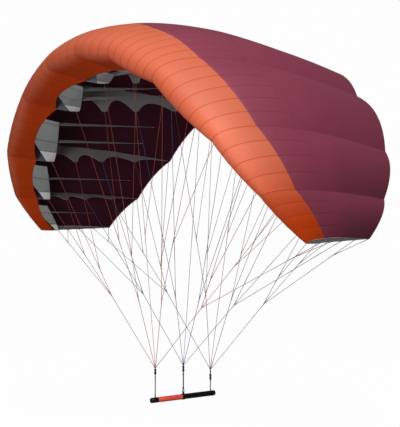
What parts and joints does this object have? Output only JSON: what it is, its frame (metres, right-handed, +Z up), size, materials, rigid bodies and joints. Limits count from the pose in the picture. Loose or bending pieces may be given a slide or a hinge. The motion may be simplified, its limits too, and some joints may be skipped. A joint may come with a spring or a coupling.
{
  "type": "parawing",
  "caption": "Hand-held single-skin foil wing: open ribbed canopy on three rows of lines, flown from one short bar.",
  "frame": {"origin": "on the crown of the canopy, straight above the bar's middle ring", "axes": "+X the way it flies, +Y to the wing's left, +Z up"},
  "size_m": [1.5519, 2.6252, 2.0899],
  "materials": {
    "nose": "matt ripstop cloth, orange",
    "canopy": "matt ripstop cloth, maroon",
    "rib": "matt rib cloth, dark grey",
    "lines_front": "braided line, pinkish red",
    "lines_middle": "braided line, blue",
    "lines_rear": "braided line, brownish red",
    "webbing": "black braided leader",
    "steel": "stainless ring",
    "grip_black": "soft black grip",
    "grip_red": "soft red grip",
    "tube": "black anodised tube",
    "moulded": "moulded black plastic"
  },
  "bodies": {
    "wing": {"canopy_L1": "canopy", "canopy_L2": "canopy", "canopy_L3": "canopy", "canopy_L4": "canopy", "canopy_L5": "canopy", "canopy_R1": "canopy", "canopy_R2": "canopy", "canopy_R3": "canopy", "canopy_R4": "canopy", "canopy_R5": "canopy", "front_connector": "webbing", "front_lines": "lines_front", "middle_connector": "webbing", "middle_lines": "lines_middle", "nose_L1": "nose", "nose_L2": "nose", "nose_L3": "nose", "nose_L4": "nose", "nose_L5": "nose", "nose_R1": "nose", "nose_R2": "nose", "nose_R3": "nose", "nose_R4": "nose", "nose_R5": "nose", "rear_lines": "lines_rear", "rib_0": "rib", "rib_L1": "rib", "rib_L2": "rib", "rib_L3": "rib", "rib_L4": "rib", "rib_L5": "rib", "rib_R1": "rib", "rib_R2": "rib", "rib_R3": "rib", "rib_R4": "rib", "rib_R5": "rib"},
    "leaders": {"front_leader": "webbing", "middle_leader": "webbing", "rear_connector": "webbing", "rear_leader": "webbing", "swivel_ring": "steel"},
    "bar": {"bar_tube": "tube", "centre_collar": "moulded", "front_cap": "moulded", "front_grip": "grip_red", "front_sleeve": "grip_black", "rear_cap": "moulded", "rear_grip": "grip_black"}
  },
  "joints": [
    {"name": "side_swing", "type": "hinge", "parent": "wing", "child": "leaders", "pos_m": [0, 0, -1.9195], "axis": [1, 0, 0], "range_deg": [-50, 50]},
    {"name": "bar_tilt", "type": "hinge", "parent": "leaders", "child": "bar", "pos_m": [0, 0, -2.029], "axis": [0, 1, 0], "range_deg": [-15, 15], "deforming": ["front_leader", "rear_leader"]}
  ]
}
